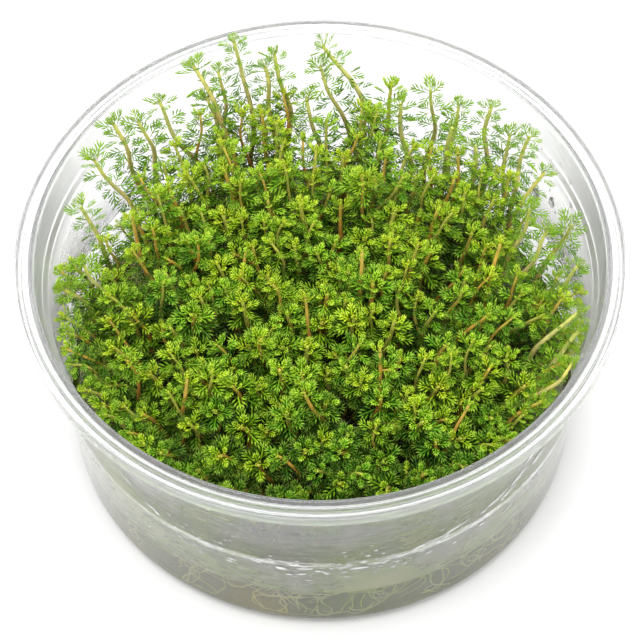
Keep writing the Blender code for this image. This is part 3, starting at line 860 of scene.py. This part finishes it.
# Bands of condensation: number, azimuth and its spread, the height's draw, least size and what a power of
# chance adds to it, width and height for each size, and most tilt
DROP_BANDS = (
    (260, -88, 34, "gauss", (23, 2.4), 0.08, 0.20, 3, 2.6, 1.0, 0.15),
    (130, -90, 45, "uniform", (18, 38), 0.06, 0.16, 3, 2.0, 1.0, 0.3),
    (70, 28, 13, "uniform", (22, 45), 0.14, 0.40, 2, 1.0, 1.2, 0.3),
)


def droplet_places(rng):
    """Where the droplets sit: azimuth, height, half-width, half-height and tilt of each."""
    draws = {"gauss": rng.gauss, "uniform": rng.uniform}
    places = []
    for count, middle, spread, draw, heights, least, more, power, wide, tall, most in DROP_BANDS:
        for _ in range(count):
            azimuth = math.radians(rng.gauss(middle, spread))
            height = draws[draw](*heights) * MM
            size = least + more * rng.random() ** power
            tilt = rng.uniform(-most, most)
            places.append((azimuth, height, size * wide * MM, size * tall * MM, tilt))
    for azimuth, *sizes, tilt in LISTED_DROPS:
        places.append((math.radians(azimuth), *(size * MM for size in sizes), tilt))
    return places


class Nodes:
    """Short ways to add shader nodes to one material."""

    def __init__(self, name, **values):
        self.material = bpy.data.materials.new(name)
        self.material.use_nodes = True
        self.tree = self.material.node_tree
        self.shader = self.tree.nodes["Principled BSDF"]
        self.wire(**values)

    def put(self, socket, value):
        """Link a value into a socket, or set it there."""
        if isinstance(value, bpy.types.NodeSocket):
            self.tree.links.new(value, socket)
        else:
            socket.default_value = (*value, 1.0) if isinstance(value, tuple) else value

    def wire(self, **values):
        """Put values into the shader's own sockets."""
        for key, value in values.items():
            self.put(self.shader.inputs[key.replace("_", " ")], value)

    def add(self, kind, sockets, **settings):
        """A new node with these settings, and with values put into its sockets."""
        node = self.tree.nodes.new(kind)
        for key, value in settings.items():
            setattr(node, key, value)
        for key, value in sockets.items():
            self.put(node.inputs[key], value)
        return node

    def place(self):
        return self.add("ShaderNodeTexCoord", {}).outputs["Object"]

    def axes(self):
        """The place on the piece, in metres."""
        split = self.add("ShaderNodeSeparateXYZ", {"Vector": self.place()})
        return split.outputs["X"], split.outputs["Y"], split.outputs["Z"]

    def growth(self):
        """The growth values: age or share, tip share, shoot tone, leaf tone."""
        node = self.add("ShaderNodeAttribute", {}, attribute_name="growth")
        split = self.add("ShaderNodeSeparateColor", {"Color": node.outputs["Color"]})
        return split.outputs["Red"], split.outputs["Green"], split.outputs["Blue"], node.outputs["Alpha"]

    def noise(self, scale, detail=3.0, roughness=0.55, squash=None):
        """Noise over the piece, drawn out sideways where it is squashed in height."""
        vector = self.place()
        if squash:
            mapping = self.add("ShaderNodeMapping", {"Vector": vector})
            mapping.inputs["Scale"].default_value = (1.0, 1.0, squash)
            vector = mapping.outputs["Vector"]
        sockets = {"Vector": vector, "Scale": scale, "Detail": detail, "Roughness": roughness}
        return self.add("ShaderNodeTexNoise", sockets).outputs["Fac"]

    def spread(self, value, low, high, to_low, to_high):
        sockets = {"Value": value, "From Min": low, "From Max": high, "To Min": to_low, "To Max": to_high}
        return self.add("ShaderNodeMapRange", sockets).outputs["Result"]

    def math(self, operation, a, b):
        return self.add("ShaderNodeMath", {0: a, 1: b}, operation=operation).outputs["Value"]

    def times(self, a, b):
        return self.math("MULTIPLY", a, b)

    def ramp(self, value, places, colors):
        node = self.add("ShaderNodeValToRGB", {"Fac": value})
        elements = node.color_ramp.elements
        while len(elements) < len(colors):
            elements.new(0.5)
        for element, position, color in zip(elements, places, colors):
            element.position = position
            element.color = (*color, 1.0)
        return node.outputs["Color"]

    def mottle(self, scale, detail, low, high):
        """Noise between two numbers, or between two colours."""
        if isinstance(low, tuple):
            return self.ramp(self.noise(scale, detail), MOTTLE, (low, high))
        return self.spread(self.noise(scale, detail), *MOTTLE, low, high)

    def mix(self, factor, a, b, blend="MIX"):
        node = self.add("ShaderNodeMix", {}, data_type="RGBA", blend_type=blend)
        for socket, value in ((0, factor), (6, a), (7, b)):
            self.put(node.inputs[socket], value)
        return node.outputs[2]

    def tint(self, color, by):
        return self.mix(1.0, color, by, "MULTIPLY")

    def bump(self, scale, detail, strength, distance):
        sockets = {"Strength": strength, "Distance": distance, "Height": self.noise(scale, detail)}
        self.wire(Normal=self.add("ShaderNodeBump", sockets).outputs["Normal"])


MOTTLE = (0.3, 0.7)
# Leaf colours by age: older leaves are darker green, and the near black at the end is painted shade
LEAF_AGES = (0.0, 0.12, 0.27, 0.45, 1.0)
WARM_LEAF_AND_DEPTH_SHADE = (
    (0.56, 0.66, 0.030), (0.46, 0.66, 0.022), (0.22, 0.44, 0.010), (0.055, 0.15, 0.003),
    (0.009, 0.015, 0.001),
)
COOL_LEAF_AND_DEPTH_SHADE = (
    (0.46, 0.66, 0.034), (0.32, 0.60, 0.026), (0.12, 0.35, 0.014), (0.033, 0.125, 0.005),
    (0.008, 0.016, 0.002),
)
TINGED_HEART = (0.70, 0.34, 0.015)
PALE_TIP_AND_HIGHLIGHT = (0.62, 0.74, 0.13)
LOOSE_TIP = (0.10, 0.24, 0.006)
STEM_PLACES = (0.0, 0.25, 0.55, 1.0)
PALE_STEM_PLACES = (0.0, 0.25, 0.60, 1.0)
GREEN_STEM = ((0.55, 0.60, 0.10), (0.66, 0.60, 0.13), (0.46, 0.30, 0.06), (0.12, 0.08, 0.02))
RED_STEM = ((0.66, 0.50, 0.09), (0.78, 0.38, 0.07), (0.55, 0.19, 0.04), (0.14, 0.06, 0.02))
PALE_STEM = ((0.62, 0.68, 0.15), (0.86, 0.80, 0.32), (0.76, 0.58, 0.18), (0.24, 0.15, 0.05))
ROOT_COLORS = ((0.62, 0.56, 0.22), (0.86, 0.82, 0.46), (0.96, 0.94, 0.70))
PAINTED_FOLIAGE_TINGES = ((0.46, 0.38, 0.10), (0.25, 0.35, 0.035), (0.44, 0.45, 0.17))
GEL_COLORS = ((0.80, 0.70, 0.26), (0.66, 0.68, 0.42), (0.46, 0.60, 0.12))
GEL_ABSORPTION, GEL_DENSITY = (0.78, 0.82, 0.46), 75.0

# Indices of refraction: an inner face's is no lower than the outer face's, or it would reflect like a mirror.
# Where the gel wets the plastic both are low, because there is no air between them
PLASTIC_IOR = 1.49
INNER_IOR = 1.50
WETTED_IOR = 1.11
GEL_TOP_IOR, GEL_SIDE_IOR = 1.34, 1.02


def leaf_material():
    """Feathery leaves: lime at the bud, green lower down, with tinged hearts and paler tips."""
    m = Nodes("leaf", IOR=1.45, Specular_IOR_Level=0.24)
    age, tip, tone, spot = m.growth()
    # From lime to near black down the shoot: older leaves' own darker green, then painted shade of the mat
    warm, cool = (m.ramp(age, LEAF_AGES, colors) for colors in (WARM_LEAF_AND_DEPTH_SHADE, COOL_LEAF_AND_DEPTH_SHADE))
    color = m.mix(m.spread(tone, 0.25, 0.85, 0.0, 1.0), warm, cool)
    heart = m.times(m.spread(tip, 0.05, 0.45, 1.0, 0.0), m.spread(age, 0.0, 0.55, 1.0, 0.0))
    heart = m.times(heart, m.spread(m.noise(150, 1.0), 0.36, 0.58, 0.0, 0.85))
    color = m.mix(heart, color, TINGED_HEART)
    # Paler finger tips: partly young tips' own lighter colour, and partly a painted highlight
    pale = m.times(m.spread(tip, 0.70, 1.0, 0.0, 0.42), m.spread(age, 0.0, 0.6, 1.0, 0.35))
    color = m.mix(pale, color, PALE_TIP_AND_HIGHLIGHT)
    loose = m.times(m.spread(tone, 1.2, 1.8, 0.0, 1.0), m.spread(tip, 0.40, 1.0, 0.0, 0.50))
    color = m.mix(loose, color, LOOSE_TIP)
    color = m.tint(color, m.mottle(2600, 2.0, (0.78, 0.80, 0.78), (1.16, 1.14, 1.1)))
    color = m.tint(color, m.ramp(spot, (0.0, 1.0), ((0.80, 0.82, 0.80), (1.20, 1.16, 1.15))))
    m.wire(Base_Color=color, Roughness=m.mottle(700, 2.0, 0.26, 0.46))
    m.bump(4200, 2.0, 0.18, 0.0002)
    return m.material


def stem_material():
    """Stems: pale and green near the tip, olive, orange or brown lower down."""
    m = Nodes("stem", IOR=1.45, Specular_IOR_Level=0.5)
    down, redness, _, loose = m.growth()
    green, red = (m.ramp(down, STEM_PLACES, colors) for colors in (GREEN_STEM, RED_STEM))
    color = m.mix(m.spread(redness, 0.45, 0.75, 0.0, 1.0), green, red)
    color = m.mix(m.times(loose, 0.75), color, m.ramp(down, PALE_STEM_PLACES, PALE_STEM))
    color = m.tint(color, m.mottle(420, 3.0, (0.72, 0.74, 0.72), (1.18, 1.14, 1.1)))
    m.wire(Base_Color=color, Roughness=m.mottle(900, 2.0, 0.30, 0.50))
    m.bump(1500, 2.0, 0.25, 0.0003)
    return m.material


def root_material():
    """Pale yellowish roots."""
    m = Nodes("root", IOR=1.42)
    along = m.growth()[0]
    color = m.ramp(along, (0.0, 0.4, 1.0), ROOT_COLORS)
    color = m.tint(color, m.mottle(500, 2.0, (0.8, 0.78, 0.72), (1.1, 1.1, 1.05)))
    m.wire(Base_Color=color, Roughness=m.mottle(900, 1.0, 0.40, 0.60))
    return m.material


def plain_material(name, color, rough, **values):
    """A material whose tint and roughness only vary a little, each by a noise between two ends."""
    m = Nodes(name, **values)
    m.wire(Base_Color=m.mottle(*color), Roughness=m.mottle(*rough))
    return m.material


def plastic_nodes(name, ior, dark, light, **values):
    """Moulded plastic, faintly wavy."""
    m = Nodes(name, IOR=ior, **values)
    m.wire(Base_Color=m.mottle(60, 2.0, dark, light))
    m.bump(90, 2.0, 0.05, 0.0004)
    return m


def plastic_material():
    """Clear, glossy plastic."""
    dark, light = (0.965, 0.975, 0.975), (0.99, 0.995, 0.995)
    m = plastic_nodes("clear_plastic", PLASTIC_IOR, dark, light, Transmission_Weight=1.0)
    m.wire(Roughness=m.mottle(220, 2.0, 0.015, 0.05))
    return m.material


def rim_material():
    """The rim: the same plastic, a touch milky where it is folded, more so towards the back."""
    m = plastic_nodes("rim_plastic", PLASTIC_IOR, (0.94, 0.95, 0.955), (0.975, 0.98, 0.98))
    _, y, _ = m.axes()
    clearness = m.spread(y, -0.040, -0.012, 0.965, 0.86)
    m.wire(Transmission_Weight=clearness, Roughness=m.mottle(220, 2.0, 0.03, 0.09))
    return m.material


def collar_material():
    """The collar's inner face, the mouth's edge and the lip: matt from moulding, which scatters the light."""
    m = plastic_nodes("collar_plastic", INNER_IOR, (0.95, 0.955, 0.95), (0.98, 0.98, 0.975))
    _, y, _ = m.axes()
    matt = m.times(m.spread(y, -0.042, -0.015, 0.22, 0.34), m.mottle(220, 2.0, 0.85, 1.15))
    m.wire(Transmission_Weight=m.spread(y, -0.042, -0.015, 0.86, 0.90), Roughness=matt)
    return m.material


def fog_material():
    """The wall's inner face: a patchy film of condensation at the front, and a thin veil elsewhere."""
    m = Nodes("fogged_plastic", IOR=INNER_IOR)
    _, y, z = m.axes()
    patches = m.spread(m.noise(62, 3.0, 0.5), 0.36, 0.64, 0.10, 0.50)
    streaks = m.spread(m.noise(170.0, 4.0, 0.5, squash=5.0), *MOTTLE, -0.13, 0.13)
    low = m.spread(z, 0.022, 0.018, 0.0, 0.16)
    thickness = m.math("ADD", m.math("ADD", patches, streaks), low)
    film = m.times(m.spread(y, 0.020, -0.022, 0.06, 1.0), thickness)
    veil = m.times(m.spread(y, -0.024, -0.004, 0.0, 1.0), m.spread(z, 0.0130, 0.0170, 0.0, 0.09))
    m.wire(Transmission_Weight=m.spread(m.math("ADD", film, veil), 0.0, 1.0, 1.0, 0.0))
    m.wire(Roughness=m.math("ADD", m.spread(film, 0.0, 0.5, 0.03, 0.30), m.times(veil, 2.4)))
    # Painted light: the film's green and olive tinges stand for the foliage and its shade seen through it
    tinge = m.ramp(m.noise(64, 5.0, 0.62), (0.32, 0.50, 0.68), PAINTED_FOLIAGE_TINGES)
    dull = m.mix(m.spread(film, 0.0, 0.36, 0.0, 1.0), (0.98, 0.98, 0.95), tinge)
    m.wire(Base_Color=m.mix(m.spread(veil, 0.0, 0.09, 0.0, 1.0), dull, (0.97, 0.975, 0.965)))
    m.bump(600, 2.0, 0.06, 0.0003)
    return m.material


def wetted_material():
    """The cup's inner face where the gel wets it: plastic against gel, so it hardly reflects."""
    color, rough = (60, 2.0, (0.97, 0.975, 0.96), (0.99, 0.99, 0.98)), (220, 2.0, 0.01, 0.04)
    return plain_material("wetted_plastic", color, rough, Transmission_Weight=1.0, IOR=WETTED_IOR)


def gel_material(name, ior, transmission):
    """Nutrient gel with a yellow-green cast: its open top, or the sides that wet the cup."""
    m = Nodes(name, Transmission_Weight=transmission, IOR=ior)
    color = m.ramp(m.noise(55, 3.0), (0.34, 0.50, 0.64), GEL_COLORS)
    m.wire(Base_Color=color, Roughness=m.mottle(160, 3.0, 0.03, 0.14))
    m.bump(120, 3.0, 0.08, 0.0006)
    volume = m.add("ShaderNodeVolumeAbsorption", {"Color": GEL_ABSORPTION, "Density": GEL_DENSITY})
    m.put(m.tree.nodes["Material Output"].inputs["Volume"], volume.outputs["Volume"])
    return m.material


def water_glint_material():
    """Droplets of condensation, whose near white diffuse share is a painted glint."""
    # Painted highlight: the near white colour where the drops only partly transmit stands for glints
    color, rough = (300, 1.0, (0.97, 0.98, 0.98), (1.0, 1.0, 1.0)), (500, 1.0, 0.0, 0.03)
    return plain_material("condensation", color, rough, Transmission_Weight=0.58, IOR=1.33)


def floor_material():
    """A pale matt floor."""
    return plain_material("floor", (3, 2.0, (0.95, 0.95, 0.95), (0.97, 0.97, 0.97)), (8, 2.0, 0.75, 0.9))


CAMERA_PLACE = (0, -0.1936, 0.3162)
CAMERA_PITCH = 56.147
CAMERA_ROLL = -0.841


def make_camera():
    """The camera that the reference view was taken from, fitted to the rim, the ledge and the foot."""
    data = bpy.data.cameras.new("camera")
    data.sensor_width = 36.0
    data.lens = 112.55
    data.shift_x = -0.00155
    data.clip_start = 0.01
    data.clip_end = 10.0
    camera = put_in_scene("camera", data)
    tilt = Matrix.Rotation(math.radians(90 - CAMERA_PITCH), 4, "X")
    roll = Matrix.Rotation(math.radians(CAMERA_ROLL), 4, "Z")
    camera.matrix_world = Matrix.Translation(CAMERA_PLACE) @ tilt @ roll
    bpy.context.scene.camera = camera


def make_light(name, place, power):
    data = bpy.data.lights.new(name, "AREA")
    data.shape = "DISK"
    data.size = LAMP_SIZE
    data.energy = power
    light = put_in_scene(name, data)
    light.location = place
    light.rotation_euler = (Vector(LAMP_TARGET) - Vector(place)).to_track_quat("-Z", "Y").to_euler()


# The dome's brightness by the sine of the elevation
DOME = ((0.30, 0.33), (0.55, 0.23), (0.82, 0.24), (0.88, 1.0))
DOME_STRENGTH = 3.0
FLOOR_HALF, FLOOR_HEIGHT = 4.0, -0.0002
LAMP_TARGET, LAMP_SIZE = (0, 0, 0.03), 0.40


def make_surroundings():
    """A pale floor, a dome that is brightest overhead, and two soft lamps."""
    mesh = bpy.data.meshes.new("floor")
    signs = ((-1, -1), (1, -1), (1, 1), (-1, 1))
    mesh.from_pydata([(x * FLOOR_HALF, y * FLOOR_HALF, FLOOR_HEIGHT) for x, y in signs], [], [(0, 1, 2, 3)])
    mesh.materials.append(floor_material())
    floor = put_in_scene("floor", mesh)

    world = bpy.data.worlds.new("studio")
    world.use_nodes = True
    bpy.context.scene.world = world
    tree = world.node_tree
    place = tree.nodes.new("ShaderNodeTexCoord")
    split = tree.nodes.new("ShaderNodeSeparateXYZ")
    ramp = tree.nodes.new("ShaderNodeValToRGB")
    stops = ramp.color_ramp.elements
    for place_z, _ in DOME[1:-1]:
        stops.new(place_z)
    for stop, (place_z, level) in zip(stops, DOME):
        stop.position = place_z
        stop.color = (level, level, level, 1)
    tree.links.new(place.outputs["Generated"], split.inputs["Vector"])
    tree.links.new(split.outputs["Z"], ramp.inputs["Fac"])
    background = tree.nodes["Background"]
    tree.links.new(ramp.outputs["Color"], background.inputs["Color"])
    background.inputs["Strength"].default_value = DOME_STRENGTH
    make_light("key", (-0.10, -0.16, 0.68), 1.6)
    make_light("back", (0.05, 0.50, 0.50), 0.6)
    bpy.context.scene.view_settings.view_transform = "Standard"
    bpy.context.scene.view_settings.look = "None"


CROWN_RINGS = ((-0.9, 0.35), (-0.5, 0.8), (0.2, 1.1), (0.9, 1.05), (1.5, 0.7), (1.9, 0.3))
PLANTLET_SEED = 1000


def make_plantlets():
    """Every plantlet as one leafy piece: the solid shoots in detail, and the thinner ones around them."""
    rng = random.Random(SEED)
    solid = solid_shoots(rng)
    plantlets = group_plantlets(solid)
    crowns = [crown_of(members) for members in plantlets]
    loose = set(solid[: len(LOOSE_SHOOTS)])
    rng = random.Random(FILL_SEED)
    near = listed_shoots(NEAR_SHOOTS, rng)
    bare = listed_shoots(BARE_SHOOTS, rng)
    fill = fill_shoots(solid + near + bare, rng)
    extra = [[] for _ in plantlets]
    for kind, shoots in (("loose", near), ("bare", bare), ("fill", fill)):
        for shoot in shoots:
            foot = flat(shoot.foot)
            closest = min(range(len(crowns)), key=lambda k: (crowns[k] - foot).length)
            extra[closest].append((shoot, kind))
    materials = [leaf_material(), stem_material(), root_material()]
    for number, (members, crown) in enumerate(zip(plantlets, crowns), start=1):
        rng = random.Random(PLANTLET_SEED + number)
        build = Build()
        lump = np.array([[crown.x, crown.y, GEL_TOP + z * MM] for z, _ in CROWN_RINGS])
        verts, tris, _ = tube(lump, np.array([radius for _, radius in CROWN_RINGS]) * MM, 8)
        build.add(verts, tris, 1, (0.8, rng.random(), rng.random(), 0.0))
        own = [(s, "loose" if s in loose else "solid") for s in members]
        for shoot, kind in own + extra[number - 1]:
            grow_shoot(build, shoot, crown, kind, rng)
        grow_roots(build, crown, ROOTS, ROOT_DRIFT, rng)
        if crown.length > OUTER_CROWN:
            grow_roots(build, crown, OUTER_ROOTS, OUTER_DRIFT, rng)
        node = f"plantlet_{number:02d}"
        piece = build.finish(f"{node}_leafy", materials)
        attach(piece, "root")
        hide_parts(node)


# The materials' places on the cup and on the gel
CLEAR, FOGGED, RIM, COLLAR, WETTED = range(5)
OPEN_TOP, WET_SIDE = range(2)
RIM_DEPTH = 4 * MM
MOUTH_STEPS = 8


def make_cup():
    """The cup, the gel and the condensation on the cup's wall."""
    outside, inside = cup_profiles()
    profile = outside + inside
    verts, tris, level = turned_body(profile, 288)
    mouth = len(outside)
    heights = [z for _, z in inside]
    last = mouth + heights.index(WET_HEIGHT) - 1
    slot = np.where((level >= mouth + MOUTH_STEPS) & (level <= last), FOGGED, CLEAR).astype(np.int32)
    rim = [z > HEIGHT - RIM_DEPTH for _, z in profile]
    slot[np.array([False, *rim[1:-1], False])[np.minimum(level, len(rim) - 1)]] = RIM
    slot[(level >= mouth) & (level < mouth + heights.index(LEDGE_END))] = COLLAR
    slot[level > last] = WETTED
    lip = outside.index(LIP_START)
    slot[(level >= lip) & (level < lip + LIP_STEPS)] = COLLAR
    build = Build()
    build.add(verts, tris, CLEAR, (0, 0, 0, 0))
    build.slots = [slot]
    materials = [plastic_material(), fog_material(), rim_material(), collar_material(), wetted_material()]
    cup = build.finish("cup_clear", materials)
    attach(cup, "root")
    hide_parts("cup")

    profile = gel_profile()
    verts, tris, level = turned_body(profile, 192)
    wet = [z for _, z in profile].index(GEL_EDGE)
    build = Build()
    build.add(verts, tris, OPEN_TOP, (0, 0, 0, 0))
    build.slots = [np.where(level < wet, WET_SIDE, OPEN_TOP).astype(np.int32)]
    top = gel_material("nutrient_gel", GEL_TOP_IOR, 0.85)
    gel = build.finish("gel_clear", [top, gel_material("gel_side", GEL_SIDE_IOR, 0.74)])
    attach(gel, "root")
    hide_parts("gel")

    build = Build()
    add_droplets(build, random.Random(5))
    drops = build.finish("wall_condensation", [water_glint_material()])
    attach(drops, "root")


make_camera()
make_surroundings()
make_cup()
make_plantlets()
